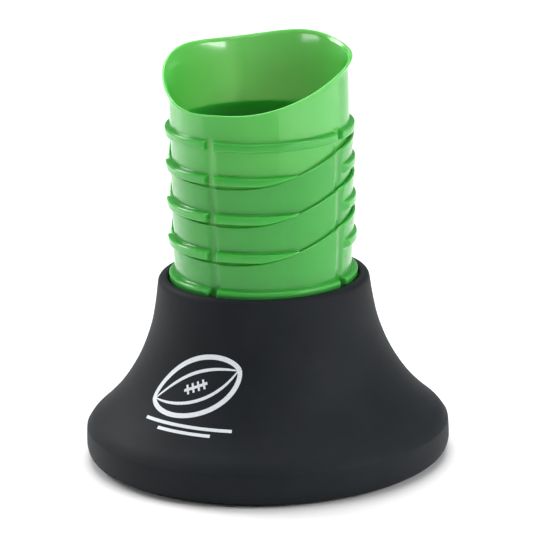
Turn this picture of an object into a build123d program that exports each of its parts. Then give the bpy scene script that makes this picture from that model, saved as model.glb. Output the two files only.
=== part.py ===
"""Adjustable rugby kicking tee.

A hollow bell-shaped rubber base carries a rigid guide socket.  A column of four
nested, keyed sleeves with wavy scooped rims stands in the socket and sinks into
the base, ring by ring; the upper sleeves stack like cups and lift off.

Frame: origin at the centre of the underside, +Z up, the low scoop of the rims
faces -Y.  Angles are measured from -Y towards +X.  Units are millimetres.
"""

import os
from math import cos, radians, sin

from build123d import *

os.makedirs("parts", exist_ok=True)

# ---------------------------------------------------------------- base
BASE_R = 70.0            # outside radius of the foot band
BAND_TOP = 13.2          # soft crease above the foot band
FOOT_ROUND = 4.5         # rounding of the bottom edge
COLLAR_H = 72.0          # top of the rubber lip
NECK_R = 40.7            # outside radius of the neck just below the lip
OPENING_R = 36.4         # opening in the lip
LIP_UNDER = 69.8         # underside of the lip, on which the socket bears
SEAT_R = 38.45           # bore of the neck that holds the guide socket
SEAT_BOTTOM = 50.0
FOOT_INNER_R = 57.0      # inner edge of the foot flange
FOOT_T = 3.2

# ---------------------------------------------------------------- guide socket
SOCKET_R = 38.4
SOCKET_BORE_R = 36.5
SOCKET_BOTTOM = 4.2
SOCKET_TOP = 69.7
RIB_R = 35.45            # crest of the guide ribs
RIB_W = 2.8
RIB_TOP = 71.6
KEY_ANGLES = (0, 90, 180, 270)

# ---------------------------------------------------------------- sleeves
PITCH = 14.7             # from ring to ring, and from sleeve to stacked sleeve
RING_R = 36.1
RING_H = 3.6
RING_EDGE = 0.7          # rounding of the ring edges
LOW_RING_Z = 74.0        # top of the lowest ring, riding in the lip
TOP_RING_GAP = 13.2      # between the two rings of the top sleeve
SLEEVE_R = 33.7          # outside radius of a sleeve at its own ring top
TAPER = 0.0748           # radius gained per millimetre of height
WALL = 0.85
TOP_WALL = 1.0
LEDGE_H = 1.0            # shelf inside a sleeve on which the next one stands
LEDGE_R = 31.6
SEAT_GAP = 0.02
SKIRT = PITCH - LEDGE_H - SEAT_GAP   # tail of a sleeve below its ring top
HORN_TOP = 25.0          # blank height above the ring, before the rim is cut
NOTCH_W = 3.4            # key slots through the rings
CHANNEL_DEPTH = 0.3      # key channels down the walls
RIM_GAP = 0.4            # between a rim and the ring arc above it
SCOOP_RING_ARC = (-52, 52)           # ring on the front of a stacked sleeve
HORN_RING_ARC = (94, 296)            # ring round the raised back of a stacking sleeve

# rim heights above the sleeve's own ring top, evenly spaced round it from the scoop
TOP_RIM = (9.75, 10.75, 15.0, 20.9, 24.7, 26.5, 28.4, 26.5, 25.6, 25.4, 18.9, 10.6)
LOW_RIM = (9.75, 10.05, 10.75, 12.45, 15.0, 17.95, 20.6, 22.3, 23.2, 23.65, 23.9, 24.0,
           24.1, 24.1, 24.1, 24.0, 24.0, 23.95, 23.4, 21.4, 15.8, 11.0, 10.15, 9.85)


def wall_r(u):
    """Outside radius of a stacking sleeve, u above its own ring top."""
    return SLEEVE_R + TAPER * u


def rim_curve(heights, radius, z):
    """Closed wavy curve at one radius, through the rim heights."""
    step = 360 / len(heights)
    points = [
        Vector(radius * sin(radians(i * step)), -radius * cos(radians(i * step)), z + h)
        for i, h in enumerate(heights)
    ]
    return Edge.make_spline(points, periodic=True)


def above_rim(heights, z):
    """Ring-shaped block filling everything above a wavy rim."""
    sheet = Face.make_surface_from_curves(rim_curve(heights, 29, z), rim_curve(heights, 42, z))
    return extrude(sheet, amount=60, dir=(0, 0, 1))


def turned(points):
    """Body turned about Z from a closed half section of (radius, height) points."""
    with BuildPart() as body:
        with BuildSketch(Plane.XZ):
            with BuildLine():
                Polyline(*points, close=True)
            make_face()
        revolve(axis=Axis.Z)
    return body.part


def moulded_ring(z_top, inner_r, start=0, end=360):
    """Ring with rounded outer edges, whole or between two angles."""
    with BuildPart() as ring:
        with BuildSketch(Plane.XZ) as section:
            with Locations(((inner_r + RING_R) / 2, z_top - RING_H / 2)):
                Rectangle(RING_R - inner_r, RING_H)
            fillet(section.vertices().group_by(Axis.X)[-1], RING_EDGE)
        revolve(axis=Axis.Z, revolution_arc=end - start)
    return ring.part.rotate(Axis.Z, start - 90)


def scoop_ring(z_top, rim_z):
    """Ring across the scoop, cut back to clear the rim of the sleeve below."""
    front = moulded_ring(z_top, 33.2, *SCOOP_RING_ARC)
    clear = above_rim(LOW_RIM, rim_z + RIM_GAP)
    with BuildPart() as arc:
        add(front)
        add(clear, mode=Mode.INTERSECT)
    return arc.part


def key_slots(z_ring, z_low, z_high):
    """Four slots cut down to the channel floor of a tapered wall."""
    low_r, high_r = (wall_r(z - z_ring) - CHANNEL_DEPTH for z in (z_low, z_high))
    core = turned([(0, z_low), (low_r, z_low), (high_r, z_high), (0, z_high)])
    with BuildPart() as slots:
        with Locations((0, 0, (z_low + z_high) / 2)):
            with PolarLocations(36, len(KEY_ANGLES)):
                Box(12, NOTCH_W, z_high - z_low)
        add(core, mode=Mode.SUBTRACT)
    return slots.part


def stacking_sleeve(z, below=None):
    """Sleeve with its ring top at z; below is the ring height of the sleeve under it."""
    wall = turned([
        (wall_r(-SKIRT), z - SKIRT), (wall_r(HORN_TOP), z + HORN_TOP),
        (wall_r(HORN_TOP) - WALL, z + HORN_TOP), (wall_r(LEDGE_H) - WALL, z + LEDGE_H),
        (LEDGE_R, z + LEDGE_H), (LEDGE_R, z), (wall_r(-1) - WALL, z - 1),
        (wall_r(-SKIRT) - WALL, z - SKIRT),
    ])
    own_ring = moulded_ring(z, 33.2) if below is None else scoop_ring(z, below)
    back_ring = moulded_ring(z + PITCH, 34.3, *HORN_RING_ARC)
    clear = above_rim(LOW_RIM, z)
    slots = key_slots(z, z - SKIRT - 1, z + HORN_TOP + 1)
    with BuildPart() as sleeve:
        add(wall)
        add(own_ring)
        add(back_ring)
        add(clear, mode=Mode.SUBTRACT)
        add(slots, mode=Mode.SUBTRACT)
    return sleeve


# ================================================================ base shell
with BuildPart() as base_shell:
    with BuildSketch(Plane.XZ):
        with BuildLine():
            Line((FOOT_INNER_R, 0), (BASE_R - FOOT_ROUND - 1.5, 0))
            Spline((BASE_R - FOOT_ROUND - 1.5, 0), (68.4, 2.2), (BASE_R, 6.0),
                   tangents=((1, 0.25), (0, 1)))
            Line((BASE_R, 6.0), (BASE_R - 0.3, BAND_TOP))
            Spline((BASE_R - 0.3, BAND_TOP), (67.4, 16.4), (63.1, 20.3), (57.7, 25.9),
                   (52.4, 33.1), (47.6, 41.8), (43.8, 51.9), (41.9, 60.5), (NECK_R, 68.8))
            Spline((NECK_R, 68.8), (40.0, 71.1), (38.2, COLLAR_H), tangents=((-0.1, 1), (-1, 0)))
            Spline((38.2, COLLAR_H), (OPENING_R, 70.9), tangents=((-1, 0), (0, -1)))
            Line((OPENING_R, 70.9), (OPENING_R, LIP_UNDER))
            Line((OPENING_R, LIP_UNDER), (SEAT_R, LIP_UNDER))
            Line((SEAT_R, LIP_UNDER), (SEAT_R, SEAT_BOTTOM))
            Line((SEAT_R, SEAT_BOTTOM), (40.2, SEAT_BOTTOM))
            Spline((40.2, SEAT_BOTTOM), (44.2, 40.0), (49.0, 31.2), (54.4, 23.6), (60.0, 17.7),
                   (65.2, 12.0))
            Line((65.2, 12.0), (65.8, FOOT_T))
            Line((65.8, FOOT_T), (FOOT_INNER_R, FOOT_T))
            Line((FOOT_INNER_R, FOOT_T), (FOOT_INNER_R, 0))
        make_face()
    revolve(axis=Axis.Z)
base_shell.part.label = "base_shell"

# ================================================================ guide socket
tube = turned([
    (SOCKET_BORE_R, SOCKET_BOTTOM), (SOCKET_R, SOCKET_BOTTOM),
    (SOCKET_R, SOCKET_TOP), (SOCKET_BORE_R, SOCKET_TOP),
])
with BuildPart() as guide_socket:
    add(tube)
    with PolarLocations((RIB_R + SOCKET_BORE_R + 0.8) / 2, len(KEY_ANGLES)):
        with Locations((0, 0, (SOCKET_BOTTOM + SOCKET_TOP) / 2)):
            Box(SOCKET_BORE_R + 0.8 - RIB_R, RIB_W, SOCKET_TOP - SOCKET_BOTTOM)
    with PolarLocations((RIB_R + OPENING_R - 0.1) / 2, len(KEY_ANGLES)):
        with Locations((0, 0, (SOCKET_TOP + RIB_TOP) / 2)):
            Box(OPENING_R - 0.1 - RIB_R, RIB_W, RIB_TOP - SOCKET_TOP)
guide_socket.part.label = "guide_socket"

# ================================================================ stacking sleeves
lower_sleeve = stacking_sleeve(LOW_RING_Z)
lower_sleeve.part.label = "lower_sleeve"

middle_sleeve = stacking_sleeve(LOW_RING_Z + PITCH, below=LOW_RING_Z)
middle_sleeve.part.label = "middle_sleeve"

upper_sleeve = stacking_sleeve(LOW_RING_Z + 2 * PITCH, below=LOW_RING_Z + PITCH)
upper_sleeve.part.label = "upper_sleeve"

# ================================================================ top sleeve
Z2 = LOW_RING_Z + 3 * PITCH          # its lower ring
Z1 = Z2 + TOP_RING_GAP               # its upper ring
with BuildPart() as cup_wall:
    with BuildSketch(Plane.XZ):
        with BuildLine():
            Line((wall_r(-SKIRT), Z2 - SKIRT), (SLEEVE_R, Z2))
            Line((SLEEVE_R, Z2), (34.1, Z1))
            Line((34.1, Z1), (34.1, Z1 + 11))
            Spline((34.1, Z1 + 11), (34.9, Z1 + 20), (36.7, Z1 + 29), tangents=((0, 1), (0.3, 1)))
            Line((36.7, Z1 + 29), (36.7 - TOP_WALL, Z1 + 29))
            Spline((36.7 - TOP_WALL, Z1 + 29), (34.9 - TOP_WALL, Z1 + 20), (34.1 - TOP_WALL, Z1 + 11),
                   tangents=((-0.3, -1), (0, -1)))
            Line((34.1 - TOP_WALL, Z1 + 11), (34.1 - TOP_WALL, Z1))
            Line((34.1 - TOP_WALL, Z1), (SLEEVE_R - TOP_WALL, Z2))
            Line((SLEEVE_R - TOP_WALL, Z2), (wall_r(-SKIRT) - WALL, Z2 - SKIRT))
            Line((wall_r(-SKIRT) - WALL, Z2 - SKIRT), (wall_r(-SKIRT), Z2 - SKIRT))
        make_face()
    revolve(axis=Axis.Z)
slots = key_slots(Z2, Z2 - SKIRT - 1, Z1 + 0.5)
lower_arc = scoop_ring(Z2, Z2 - PITCH)
upper_ring = moulded_ring(Z1, 33.6)
clear = above_rim(TOP_RIM, Z1)
with BuildPart() as top_sleeve:
    add(cup_wall.part)
    add(lower_arc)
    add(upper_ring)
    add(clear, mode=Mode.SUBTRACT)
    add(slots, mode=Mode.SUBTRACT)
top_sleeve.part.label = "top_sleeve"

for piece in (base_shell, guide_socket, lower_sleeve, middle_sleeve, upper_sleeve, top_sleeve):
    export_step(piece.part, f"parts/{piece.part.label}.step")
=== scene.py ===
"""Visual model of the adjustable kicking tee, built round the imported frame."""
import math

import bpy
import numpy as np
from mathutils import Matrix, Vector


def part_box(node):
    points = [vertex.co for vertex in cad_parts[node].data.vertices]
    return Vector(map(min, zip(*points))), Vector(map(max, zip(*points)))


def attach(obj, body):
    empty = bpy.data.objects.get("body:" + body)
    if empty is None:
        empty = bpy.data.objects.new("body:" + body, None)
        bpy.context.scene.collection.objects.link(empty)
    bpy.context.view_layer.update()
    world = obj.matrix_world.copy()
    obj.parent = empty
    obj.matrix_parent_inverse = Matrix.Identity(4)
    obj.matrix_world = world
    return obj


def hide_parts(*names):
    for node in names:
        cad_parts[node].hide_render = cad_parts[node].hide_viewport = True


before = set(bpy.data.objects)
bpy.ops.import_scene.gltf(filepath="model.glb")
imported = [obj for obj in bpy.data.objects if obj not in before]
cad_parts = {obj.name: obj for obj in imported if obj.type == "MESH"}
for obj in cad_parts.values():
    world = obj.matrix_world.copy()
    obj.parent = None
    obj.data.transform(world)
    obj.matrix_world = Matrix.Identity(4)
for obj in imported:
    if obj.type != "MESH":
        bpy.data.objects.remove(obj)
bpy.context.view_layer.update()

MM = 0.001
TAU = 2 * math.pi

# ---------------- sizes in millimetres, as in the CAD
PITCH = 14.7            # from one ring to the next
RING_R = 36.1
RING_H = 3.6
SLEEVE_R = 33.7         # outside of a sleeve at its ring top
TAPER = 0.0748          # how much wider a sleeve gets per millimetre of height
WALL = 0.85
TOP_WALL = 1.05
LEDGE_H = 1.0           # shelf inside a sleeve, on which the next one stands
LEDGE_R = 31.6
SKIRT = PITCH - LEDGE_H - 0.02
TOP_RING_GAP = 13.2     # between the two rings of the top sleeve
BASE_WIDE = 70.0
BASE_TOP = 72.0

# rim heights above the sleeve's last ring top, evenly spaced round it from the scoop
TOP_RIM = (9.75, 10.75, 15.0, 20.9, 24.7, 26.5, 28.4, 26.5, 25.6, 25.4, 18.9, 10.6)
LOW_RIM = (10.0, 10.1, 10.75, 12.45, 15.0, 17.95, 20.6, 22.3, 23.2, 23.65, 23.9, 24.0,
           24.1, 24.1, 24.1, 24.0, 24.0, 23.95, 23.4, 21.4, 15.8, 11.1, 10.8, 10.45)
# the top rim's flare: where it starts above the upper ring, and how far it leans out at the rim
FLARE_FROM = (10.0, 10.6, 13.6, 18.6, 20.6, 19.5, 16.8, 15.3, 14.2, 12.8, 10.6, 9.2)
FLARE_OUT = (0.1, 0.2, 0.4, 0.8, 1.6, 2.1, 2.5, 2.5, 2.5, 2.6, 2.4, 0.7)

# ---------------- sizes of the visual alone, in millimetres
BASE_COLUMNS = 240
EDGE_STEPS = 5          # steps in a rounded edge of a ring, and in the lip of a sleeve
LIP_STEPS = 6
SLOT_R = 35.0           # radius at which the distance to a key slot is measured,
PART_R = 34.0           # and that to a parting line
RING_EDGE = 0.85        # rounding of a ring's edges
RING_DEEP = 2.2         # a ring's depth, to turn its rounding into a share of it
RING_DRAFT = 0.06       # how much a ring's flat sides slope
FILLET_OUT = 0.5        # fillet above a ring: share of the ring's depth, and height
FILLET_UP = 0.56
NOTCH_HALF = 1.6        # half width of the gap in a ring at a key slot
NOTCH_ROUND = 0.7
CHANNEL_HALF = 3.0      # half width of the shallow channel at a key slot
CHANNEL_DEPTH = 0.42
PARTING_STEP = 0.22     # step at a parting line, and over what distance it comes and goes
PARTING_IN = 2.0
PARTING_OUT = 10.0
RIM_GAP = 0.15          # between a rim and the ring that is cut back along it
THIN_RING = 0.06        # a ring that is cut back is never lower than this,
THIN_FADE = 0.8         # and fades out below this height
LIP_IN = 0.19           # a lower sleeve's lip is this much thicker than its wall
SKIRT_EDGE = 0.25       # chamfer at the foot of a skirt
HORN_LEAN = 0.25        # outward lean of a lower sleeve's raised back
LEAN_OVER = (15.4, 20.5)    # heights between which the lean comes in
HORN_RIM = (17.5, 22.0)     # rim heights between which the lean comes in
LEAN_KEY = (1.7, 3.2)       # distances from a key slot between which it comes in
HORN_TOP = 24.2         # the highest row of a lower sleeve's band
BAND_FOOT = 0.5         # rows below this height are never squeezed
SQUEEZE_RIM = (15.9, 18.0)  # rim heights over which the ring segment stops being squeezed
TOP_WIDER = 0.4         # how much wider the top sleeve gets between its rings
RING_CLEAR = 0.4        # rows this much above a ring's top are clear of its fillet

# degrees from the scoop between which the ring segment on a raised back comes in and goes out
BACK_IN = (93.5, 100)
BACK_OUT = (290, 297)


def smooth(x, low, high):
    t = np.clip((x - low) / (high - low), 0, 1)
    return t * t * (3 - 2 * t)


# ---------------- columns of the sleeves
def sleeve_angles():
    """Angles round a sleeve from its scoop, dense at the key slots and the parting lines."""
    eighth = [0.0, 0.7, 1.3, 1.8, 2.2, 2.6, 2.64, 2.7, 2.85, 3.05, 3.35, 3.7, 4.1, 4.7]
    eighth += list(np.arange(5.5, 43.6, 1.0)) + [44.2, 44.6, 44.8, 44.9, 45.0]
    quarter = eighth + [90 - a for a in reversed(eighth[:-1])]
    degrees = [q * 90 + a for q in range(4) for a in quarter[:-1]]
    return np.radians(np.array(degrees))


COLS = sleeve_angles()
ONE = np.ones_like(COLS)
# distances along the wall: to the nearest key slot, and past the parting line of the same quarter
FROM_KEY = np.abs((np.degrees(COLS) + 45) % 90 - 45) * math.pi / 180 * SLOT_R
PAST_PART = np.clip((np.degrees(COLS) % 90 - 45) * math.pi / 180 * PART_R, 0, None)


def at_columns(values):
    """Values evenly spaced round a sleeve, brought to its columns by a closed cubic spline."""
    y = np.asarray(values, float)
    n = len(y)
    h = TAU / n
    system = np.zeros((n, n))
    for i in range(n):
        system[i, i] = 4
        system[i, (i + 1) % n] = system[i, i - 1] = 1
    bend = np.linalg.solve(system, 6 / h**2 * (np.roll(y, -1) - 2 * y + np.roll(y, 1)))
    t = np.mod(COLS, TAU) / h
    i = np.floor(t).astype(int) % n
    j = (i + 1) % n
    f = t - np.floor(t)
    g = 1 - f
    return (g * y[i] + f * y[j]
            + h * h / 6 * ((g**3 - g) * bend[i] + (f**3 - f) * bend[j]))


def ring_ends():
    """0 inside a key slot, 1 outside it, with slightly rounded ends."""
    rise = np.clip((FROM_KEY - NOTCH_HALF) / NOTCH_ROUND, 0, 1)
    return np.sqrt(rise * (2 - rise))


NOTCHED = ring_ends()
CHANNEL = -CHANNEL_DEPTH * (0.5 + 0.5 * np.cos(math.pi * np.clip(FROM_KEY / CHANNEL_HALF, 0, 1)))
PARTING = -PARTING_STEP * (1 - np.exp(-PAST_PART / PARTING_IN)) * np.exp(-PAST_PART / PARTING_OUT)


# ---------------- meshes
def mesh_piece(name, co, faces):
    mesh = bpy.data.meshes.new(name)
    mesh.from_pydata([tuple(p) for p in co], [], [tuple(int(v) for v in f) for f in faces])
    mesh.validate()
    mesh.shade_smooth()
    piece = bpy.data.objects.new(name, mesh)
    bpy.context.scene.collection.objects.link(piece)
    return piece


def closed_mesh(name, radius, height, angles):
    """Closed turned piece from (rows x columns) arrays of radius and height in millimetres."""
    rows, cols = radius.shape
    x = radius * np.sin(angles)[None, :]
    y = -radius * np.cos(angles)[None, :]
    co = np.stack([x, y, height], -1).reshape(-1, 3) * MM
    i = np.arange(rows)[:, None]
    j = np.arange(cols)[None, :]
    a = i * cols + j
    b = i * cols + (j + 1) % cols
    c = ((i + 1) % rows) * cols + (j + 1) % cols
    d = ((i + 1) % rows) * cols + j
    return mesh_piece(name, co, np.stack([a, b, c, d], -1).reshape(-1, 4))


# ---------------- sleeves
def ring_rows():
    """(share of the ring's depth, height from its top) round a moulded ring, from the bottom up."""
    bend = RING_EDGE / RING_DEEP
    lift = RING_EDGE - RING_DRAFT
    arc = [math.pi / 2 * k / EDGE_STEPS for k in range(EDGE_STEPS + 1)]
    foot = [(0.0, -RING_H), (0.06, -RING_H + RING_DRAFT / 3), (0.35, -RING_H + RING_DRAFT / 2)]
    low = [(1 - (1 - math.sin(a)) * bend, -RING_H + RING_DRAFT + (1 - math.cos(a)) * lift)
           for a in arc]
    high = [(1 - (1 - math.cos(a)) * bend, -RING_DRAFT - (1 - math.sin(a)) * lift) for a in arc]
    fillet = [(FILLET_OUT * (1 - math.sin(a)), -RING_DRAFT / 2 + FILLET_UP * (1 - math.cos(a)))
              for a in arc]
    return foot + low + [(1.0, -RING_H * 0.5)] + high + fillet


RING_ROWS = ring_rows()


def wall_r(u):
    """Outside radius of a plain tapered sleeve at u above its ring top."""
    return SLEEVE_R + TAPER * u


class Section:
    """A sleeve's closed section at every column: rows up the outside and down the inside."""

    def __init__(self):
        self.radii, self.heights = [], []

    def row(self, radius, height):
        self.radii.append(radius * ONE)
        self.heights.append(height * ONE)

    def ring(self, wall, height, strength):
        """Ring that stands out from wall(u), with height(dz) for a row dz from its top."""
        for share, dz in RING_ROWS:
            u = height(dz)
            base = wall(u)
            self.row(base + (RING_R - base) * share * strength, u)

    def own_ring(self, wall, rim_below):
        """The sleeve's lowest ring, cut back along the rim of the sleeve below it."""
        bottom = -RING_H * ONE
        if rim_below is not None:
            bottom = np.maximum(bottom, at_columns(rim_below) + RIM_GAP - PITCH)
        tall = np.clip(-bottom, THIN_RING, RING_H)
        strength = NOTCHED * np.sqrt(np.clip((tall - THIN_RING) / THIN_FADE, 0, 1))
        self.ring(wall, lambda dz: dz * tall / RING_H, strength)

    def lip(self, outer_r, inner_r, rim):
        """Rounded rim from the outer wall over to the inner wall."""
        half = (outer_r - inner_r) / 2
        middle = (outer_r + inner_r) / 2
        for k in range(LIP_STEPS + 1):
            a = math.pi * k / LIP_STEPS
            self.row(middle + half * math.cos(a), rim - half + half * math.sin(a))

    def mesh(self, name, z):
        return closed_mesh(name, np.array(self.radii), np.array(self.heights) + z, COLS)


def low_sleeve(name, z, rim_below=None):
    """Stacking sleeve with its ring top at z."""
    rim = at_columns(LOW_RIM)
    horn = HORN_LEAN * (smooth(rim, *HORN_RIM) * smooth(FROM_KEY, *LEAN_KEY))
    section = Section()

    def wall(u):
        return wall_r(u) + CHANNEL + PARTING

    def band(u):
        return wall(u) + horn * smooth(u, *LEAN_OVER)

    def fitted(u):
        """Height of a row that is nominally u above the ring, squeezed where the rim is low."""
        hold = BAND_FOOT + (PITCH + RING_CLEAR - BAND_FOOT) * smooth(rim, *SQUEEZE_RIM)
        squeezed = hold + (u - hold) * (rim - 0.9 - hold) / (HORN_TOP - hold)
        return np.where(u <= hold, u, squeezed)

    # skirt, own ring and band, with the ring segment on its raised back
    section.row(wall_r(-SKIRT) - SKIRT_EDGE, -SKIRT)
    section.row(wall_r(-SKIRT) + CHANNEL, -SKIRT + SKIRT_EDGE)
    for u in (-11, -8, -5.5):
        section.row(wall(u), u)
    section.own_ring(wall, rim_below)
    for u in (0.6, 2.0, 4.0, 6.0, 8.0, 10.0):
        section.row(band(fitted(u)), fitted(u))
    degrees = np.degrees(COLS)
    back = smooth(degrees, *BACK_IN) * (1 - smooth(degrees, *BACK_OUT)) * NOTCHED
    section.ring(band, lambda dz: fitted(PITCH + dz), back)
    for u in (15.6, 17.5, 19.5, 21.5, 23.3, HORN_TOP):
        section.row(band(fitted(u)), fitted(u))
    section.lip(wall_r(rim) + CHANNEL + horn * smooth(rim, *LEAN_OVER),
                wall_r(rim) - WALL - LIP_IN, rim)
    # inner wall, shelf and skirt
    for s in (0.96, 0.85, 0.7, 0.5, 0.3, 0.12, 0.02):
        u = LEDGE_H + (rim - 0.6 - LEDGE_H) * s
        section.row(wall_r(u) - WALL, u)
    for radius, u in ((wall_r(LEDGE_H) - WALL - 0.1, LEDGE_H),
                      (LEDGE_R + 0.1, LEDGE_H),
                      (LEDGE_R, LEDGE_H - 0.1),
                      (LEDGE_R, 0.1),
                      (LEDGE_R + 0.1, -0.02),
                      (wall_r(-1) - WALL, -1.0),
                      (wall_r(-7) - WALL, -7.0),
                      (wall_r(-SKIRT) - WALL, -SKIRT + SKIRT_EDGE),
                      (wall_r(-SKIRT) - WALL + SKIRT_EDGE, -SKIRT)):
        section.row(radius, u)
    return section.mesh(name, z)


def cup_sleeve(name, z):
    """Top sleeve: its lower ring top at z, its upper ring TOP_RING_GAP higher."""
    rim = at_columns(TOP_RIM)
    flare_from = at_columns(FLARE_FROM)
    flare_out = at_columns(FLARE_OUT)
    section = Section()

    def outer_r(u):
        """Outside radius at u above the lower ring."""
        u = u * ONE
        body = SLEEVE_R + TOP_WIDER * np.clip(u / TOP_RING_GAP, 0, 1)
        up = np.clip((u - TOP_RING_GAP - flare_from) / np.maximum(rim - flare_from, 1.5), 0, 1.1)
        return np.where(u < 0, wall_r(u), body + flare_out * up**1.7)

    def wall(u):
        return outer_r(u) + CHANNEL + PARTING

    def cup_wall(u):
        """Above the upper ring the wall has no channel."""
        return outer_r(u) + CHANNEL * (u < TOP_RING_GAP + RING_CLEAR) + PARTING

    # outside
    section.row(wall_r(-SKIRT) - SKIRT_EDGE, -SKIRT)
    for u in (-SKIRT + SKIRT_EDGE, -11, -8, -5.5):
        section.row(wall(u), u)
    section.own_ring(wall, LOW_RIM)
    for u in (0.6, 2.0, 4.0, 6.0, 8.0, 9.2):
        section.row(wall(u), u)
    section.ring(wall, lambda dz: (TOP_RING_GAP + dz) * ONE, NOTCHED)
    for s in (0.03, 0.06, 0.12, 0.22, 0.34, 0.46, 0.58, 0.68, 0.77, 0.85, 0.92, 0.97, 1.0):
        u = TOP_RING_GAP + 0.35 + (rim - 1.05) * s
        section.row(cup_wall(u), u)
    outer = outer_r(TOP_RING_GAP + rim)
    section.lip(outer, outer - TOP_WALL, rim + TOP_RING_GAP)
    # inside
    for s in (1.0, 0.97, 0.92, 0.85, 0.77, 0.68, 0.58, 0.46, 0.34, 0.22, 0.12, 0.0):
        u = TOP_RING_GAP + (rim - 0.8) * s
        section.row(outer_r(u) - TOP_WALL, u)
    for u in (TOP_RING_GAP - 4, TOP_RING_GAP - 9, 0.0, -5.0, -SKIRT + SKIRT_EDGE):
        section.row(outer_r(u) - TOP_WALL + (TOP_WALL - WALL) * (u < 0), u)
    section.row(wall_r(-SKIRT) - WALL + SKIRT_EDGE, -SKIRT)
    return section.mesh(name, z)


# ---------------- base
BELL = [(69.7, 13.2), (67.4, 16.4), (63.1, 20.3), (57.7, 25.9), (52.4, 33.1), (47.6, 41.8),
        (43.8, 51.9), (41.9, 60.5), (40.7, 68.8)]


def through(points, count):
    """Smooth open curve through points, by Catmull-Rom, with count steps between two of them."""
    p = np.array([points[0], *points, points[-1]], float)
    out = []
    for a, b, c, d in zip(p, p[1:], p[2:], p[3:]):
        for s in np.linspace(0, 1, count, endpoint=False):
            out.append(0.5 * (2 * b + (c - a) * s + (2 * a - 5 * b + 4 * c - d) * s * s
                              + (3 * b - a - 3 * c + d) * s**3))
    out.append(p[-2])
    return [tuple(q) for q in out]


def base_profile():
    """Closed half section of the base, (radius, height), outside first."""
    foot = [(57.4, 0.0), (60.0, 0.0), (63.2, 0.0)]
    foot += through([(64.4, 0.1), (66.5, 0.9), (68.4, 2.2), (69.5, 3.9), (BASE_WIDE, 6.2)], 3)
    band = [(BASE_WIDE, 8.0), (69.95, 10.0), (69.85, 12.0), (69.78, 12.8)]
    lip = through([BELL[-1], (40.45, 70.2), (39.8, 71.3), (38.9, 71.9), (38.0, BASE_TOP),
                   (37.2, 71.8), (36.6, 71.2), (36.4, 70.5)], 3)
    neck = [(36.4, 69.9), (36.5, 69.8), (38.3, 69.8), (38.45, 69.7), (38.45, 60.0),
            (38.45, 50.2), (38.6, 50.0), (40.0, 50.0)]
    hollow = through([(40.2, 49.8), (44.2, 40.0), (49.0, 31.2), (54.4, 23.6), (60.0, 17.7),
                      (65.2, 12.0)], 4)
    flange = [(65.6, 6.0), (65.7, 3.6), (65.3, 3.2), (60.0, 3.2), (57.4, 3.2), (57.0, 2.8),
              (57.0, 0.4)]
    return foot + band + through(BELL, 6)[:-1] + lip + neck + hollow + flange


def base_bell(name):
    angles = np.linspace(0, TAU, BASE_COLUMNS, endpoint=False)
    profile = np.array(base_profile())
    radius = np.repeat(profile[:, :1], len(angles), 1)
    height = np.repeat(profile[:, 1:], len(angles), 1)
    return closed_mesh(name, radius, height, angles)


# ---------------- print on the base
PRINT_MIDDLE = 36.8     # height of the middle of the print
PRINT_LIFT = 0.07       # how far the print stands off the bell
PRINT_R = 50.0          # radius at which a millimetre across is a millimetre
STRIPS = 5              # points across a stroke
BELL_CURVE = np.array(through(BELL, 12))
BELL_ALONG = np.concatenate([[0], np.cumsum(np.hypot(*np.diff(BELL_CURVE, axis=0).T))])


def bell_at(along):
    """Radius and height of the bell's outside, by the distance along its curve."""
    return (np.interp(along, BELL_ALONG, BELL_CURVE[:, 0]),
            np.interp(along, BELL_ALONG, BELL_CURVE[:, 1]))


def on_bell(across, up):
    """Point on the outside of the bell, from millimetres across and up its face."""
    here = np.interp(PRINT_MIDDLE, BELL_CURVE[:, 1], BELL_ALONG) + up
    r, z = bell_at(here)
    above, below = bell_at(here + 0.5), bell_at(here - 0.5)
    dr, dz = above[0] - below[0], above[1] - below[1]
    size = np.hypot(dr, dz)
    r, z = r + PRINT_LIFT * dz / size, z - PRINT_LIFT * dr / size
    a = across / PRINT_R
    return np.stack([r * np.sin(a), -r * np.cos(a), z], -1) * MM


def printed(name, strokes):
    """White print: each stroke is (points, widths) in millimetres on the face of the bell."""
    co, faces = [], []
    for points, widths in strokes:
        p = np.array(points, float)
        n = len(p)
        w = np.broadcast_to(np.asarray(widths, float), (n,))
        t = np.gradient(p, axis=0)
        t /= np.maximum(np.hypot(t[:, 0], t[:, 1]), 1e-9)[:, None]
        side = np.stack([-t[:, 1], t[:, 0]], -1) * w[:, None] / 2
        start = len(co)
        for k in range(STRIPS):
            q = p + side * (1 - 2 * k / (STRIPS - 1))
            co += list(on_bell(q[:, 0], q[:, 1]))
        for k in range(STRIPS - 1):
            for i in range(n - 1):
                a = start + k * n + i
                faces.append((a, a + n, a + n + 1, a + 1))
    return mesh_piece(name, co, faces)


def ball_mark():
    """A plain ball outline with its seams and lacing, and two ground lines."""
    long_r, short_r, raised = 19.5, 10.6, 3.0
    tilt = math.radians(24)

    def turn(x, y):
        return np.stack([x * math.cos(tilt) - y * math.sin(tilt),
                         x * math.sin(tilt) + y * math.cos(tilt) + raised], -1)

    s = np.linspace(0, TAU, 97)
    t = np.linspace(-1, 1, 41)
    pointed = np.sign(np.sin(s)) * np.abs(np.sin(s)) ** 1.25
    strokes = [(turn(long_r * np.cos(s), short_r * pointed), 1.9)]
    for bow in (5.4, -5.4):
        seam = turn(long_r * 0.97 * t, bow * (1 - t * t))
        strokes.append((seam, 1.1 * (1.05 - t * t)**0.5 + 0.15))
    strokes.append((turn(5.2 * t, 0 * t), 1.1))
    for k in (-3.6, -1.2, 1.2, 3.6):
        strokes.append((turn(np.full(9, k), 1.9 * np.linspace(-1, 1, 9)), 0.9))
    for y, half in ((-12.6, 17.0), (-15.2, 10.0)):
        strokes.append((np.stack([half * t, y + 0 * t], -1), 1.3))
    return strokes


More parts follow.
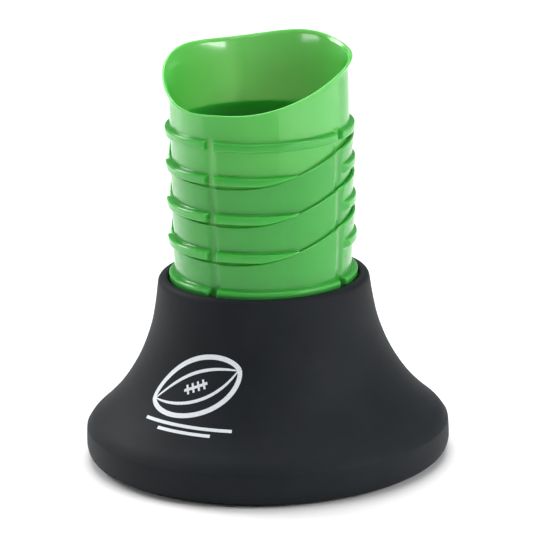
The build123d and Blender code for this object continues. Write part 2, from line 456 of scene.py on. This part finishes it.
# ---------------- materials
class Shader:
    """New material whose Principled BSDF is fed by name."""

    def __init__(self, name, **values):
        """Values are those of sockets that are the same all over, with _ for a space."""
        self.material = bpy.data.materials.new(name)
        self.material.use_nodes = True
        self.tree = self.material.node_tree
        self.sockets = self.tree.nodes["Principled BSDF"].inputs
        for socket, value in values.items():
            self.sockets[socket.replace("_", " ")].default_value = value

    def noise(self, scale, detail, stretch=None):
        """Noise in object space, with scale in cells per metre."""
        where = self.tree.nodes.new("ShaderNodeTexCoord")
        node = self.tree.nodes.new("ShaderNodeTexNoise")
        node.inputs["Scale"].default_value = scale
        node.inputs["Detail"].default_value = detail
        node.inputs["Roughness"].default_value = 0.55
        source = where.outputs["Object"]
        if stretch:
            mapping = self.tree.nodes.new("ShaderNodeMapping")
            mapping.inputs["Scale"].default_value = stretch
            self.tree.links.new(source, mapping.inputs["Vector"])
            source = mapping.outputs["Vector"]
        self.tree.links.new(source, node.inputs["Vector"])
        return node.outputs["Fac"]

    def ramp(self, socket, value, low, high):
        """Feed a socket from a ramp between two (place, colour) stops."""
        node = self.tree.nodes.new("ShaderNodeValToRGB")
        for element, (place, colour) in zip(node.color_ramp.elements, (low, high)):
            element.position = place
            element.color = (*colour, 1)
        self.tree.links.new(value, node.inputs["Fac"])
        self.tree.links.new(node.outputs["Color"], self.sockets[socket])

    def bump(self, value, strength, distance):
        node = self.tree.nodes.new("ShaderNodeBump")
        node.inputs["Strength"].default_value = strength
        node.inputs["Distance"].default_value = distance
        self.tree.links.new(value, node.inputs["Height"])
        self.tree.links.new(node.outputs["Normal"], self.sockets["Normal"])


def green_plastic():
    look = Shader("glossy_green_plastic", IOR=1.5, Specular_IOR_Level=0.38,
                  Subsurface_Weight=0.78, Subsurface_Radius=(1.45, 1.35, 1.2),
                  Subsurface_Scale=0.0035, Coat_Weight=0.08, Coat_Roughness=0.07)
    flow = look.noise(26, 3, stretch=(1, 1, 0.45))
    look.ramp("Base Color", flow, (0.3, (0.043, 0.364, 0.046)), (0.7, (0.050, 0.393, 0.053)))
    look.ramp("Roughness", look.noise(900, 3), (0.35, (0.15,) * 3), (0.7, (0.20,) * 3))
    look.bump(look.noise(60, 2), 0.08, 0.0006)
    return look.material


def black_rubber():
    look = Shader("matt_black_rubber", Specular_IOR_Level=0.10)
    cloud, grain = look.noise(45, 4), look.noise(2600, 2)
    look.ramp("Base Color", cloud,
              (0.3, (0.0105, 0.0125, 0.0150)), (0.72, (0.0145, 0.0170, 0.0200)))
    look.ramp("Roughness", grain, (0.3, (0.50,) * 3), (0.75, (0.66,) * 3))
    look.bump(grain, 0.28, 0.00012)
    return look.material


def socket_plastic():
    look = Shader("black_plastic", Roughness=0.42)
    grain = look.noise(1400, 2)
    look.ramp("Base Color", grain, (0.3, (0.010, 0.010, 0.011)), (0.7, (0.015, 0.015, 0.016)))
    look.bump(grain, 0.15, 0.0001)
    return look.material


def white_print():
    look = Shader("white_pad_print", Roughness=0.5)
    speck = look.noise(3200, 2)
    look.ramp("Base Color", speck, (0.30, (0.52, 0.56, 0.60)), (0.48, (0.72, 0.76, 0.80)))
    look.bump(speck, 0.1, 0.0001)
    return look.material


def floor_white():
    look = Shader("pale_floor", Roughness=0.6, Specular_IOR_Level=0.2)
    look.ramp("Base Color", look.noise(3, 2), (0.3, (0.88,) * 3), (0.7, (0.90,) * 3))
    return look.material


GREEN = green_plastic()
RUBBER = black_rubber()
SOCKET = socket_plastic()
PRINT = white_print()
FLOOR = floor_white()


# ---------------- the pieces
def dressed(piece, material, body, slot_name, *nodes):
    piece.data.materials.append(material)
    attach(piece, body)
    if nodes:
        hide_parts(*nodes)


def ring_top(node):
    """Height of a sleeve's lowest ring top, from the foot of its skirt, in millimetres."""
    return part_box(node)[0].z / MM + SKIRT


for place, rim_below in (("lower", None), ("middle", LOW_RIM), ("upper", LOW_RIM)):
    node = place + "_sleeve"
    dressed(low_sleeve(node + "_shell", ring_top(node), rim_below), GREEN, place,
            "sleeve_green", node)
dressed(cup_sleeve("top_sleeve_cup", ring_top("top_sleeve")), GREEN, "top", "sleeve_green",
        "top_sleeve")
dressed(base_bell("base_bell"), RUBBER, "base", "base_rubber", "base_shell")
dressed(printed("ball_print", ball_mark()), PRINT, "base", "base_rubber")
for material_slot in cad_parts["guide_socket"].material_slots:
    material_slot.material = SOCKET

# ---------------- floor
bpy.ops.mesh.primitive_plane_add(size=6, location=(0, 0, 0))
floor = bpy.context.object
floor.name = "floor"
floor.data.materials.append(FLOOR)

# ---------------- camera, in metres and degrees
AZIMUTH = 33.0
ELEVATION = 15.89
ROLL = math.radians(1.54)
DISTANCE = 1.5
AIM_RIGHT = 0.00116
AIM_UP = 0.07407


def toward(azimuth, elevation):
    """Direction from the tee; azimuth is measured from its front, to the right."""
    a, e = math.radians(azimuth), math.radians(elevation)
    return Vector((math.sin(a) * math.cos(e), -math.cos(a) * math.cos(e), math.sin(e)))


back = toward(AZIMUTH, ELEVATION)
right = Vector((math.cos(math.radians(AZIMUTH)), math.sin(math.radians(AZIMUTH)), 0))
up = back.cross(right)
camera = bpy.data.objects.new("camera", bpy.data.cameras.new("camera"))
bpy.context.scene.collection.objects.link(camera)
camera.data.sensor_width = 36
camera.data.lens = 264.8
camera.data.clip_end = 20
turned = Matrix((right * math.cos(ROLL) - up * math.sin(ROLL),
                 right * math.sin(ROLL) + up * math.cos(ROLL), back))
target = right * AIM_RIGHT + Vector((0, 0, AIM_UP))
camera.matrix_world = (Matrix.Translation(target + back * DISTANCE)
                       @ turned.transposed().to_4x4())
bpy.context.scene.camera = camera


# ---------------- light, in metres, degrees and watts
def soft_light(name, azimuth, elevation, distance, aim_up, width, height, power):
    """Area light aimed at the tee's axis; azimuth is measured from the camera, to its right."""
    light = bpy.data.lights.new(name, "AREA")
    light.shape = "RECTANGLE"
    light.size, light.size_y = width, height
    light.energy = power
    lamp = bpy.data.objects.new(name, light)
    bpy.context.scene.collection.objects.link(lamp)
    away = toward(AZIMUTH + azimuth, elevation)
    lamp.location = Vector((0, 0, aim_up)) + away * distance
    lamp.rotation_mode = "QUATERNION"
    lamp.rotation_quaternion = away.to_track_quat("Z", "Y")
    return lamp


# low, upright panels give the column its pale sides; the lights stand higher and further away
for side in (("right_panel", 76, 0, 0.45, 0.052, 0.92, 0.10, 0.5),
             ("left_panel", -103, 0, 0.45, 0.052, 0.46, 0.10, 0.14)):
    soft_light(*side).visible_camera = False
soft_light("back_top", 180, 62, 1.6, 0.09, 1.2, 1.2, 25)
soft_light("right_key", 60, 24, 1.1, 0.09, 0.66, 0.12, 5.6)
soft_light("left_key", -74, 20, 1.1, 0.09, 0.42, 0.12, 1.6)
soft_light("left_back", -122, 30, 1.1, 0.09, 0.5, 0.3, 6)
soft_light("overhead", 12, 74, 1.2, 0.09, 0.9, 0.9, 5.6)
world = bpy.data.worlds.new("studio")
bpy.context.scene.world = world
world.use_nodes = True
sky = world.node_tree.nodes["Background"]
sky.inputs["Color"].default_value = (1, 1, 1, 1)
sky.inputs["Strength"].default_value = 0.2
bpy.context.scene.view_settings.view_transform = "Standard"
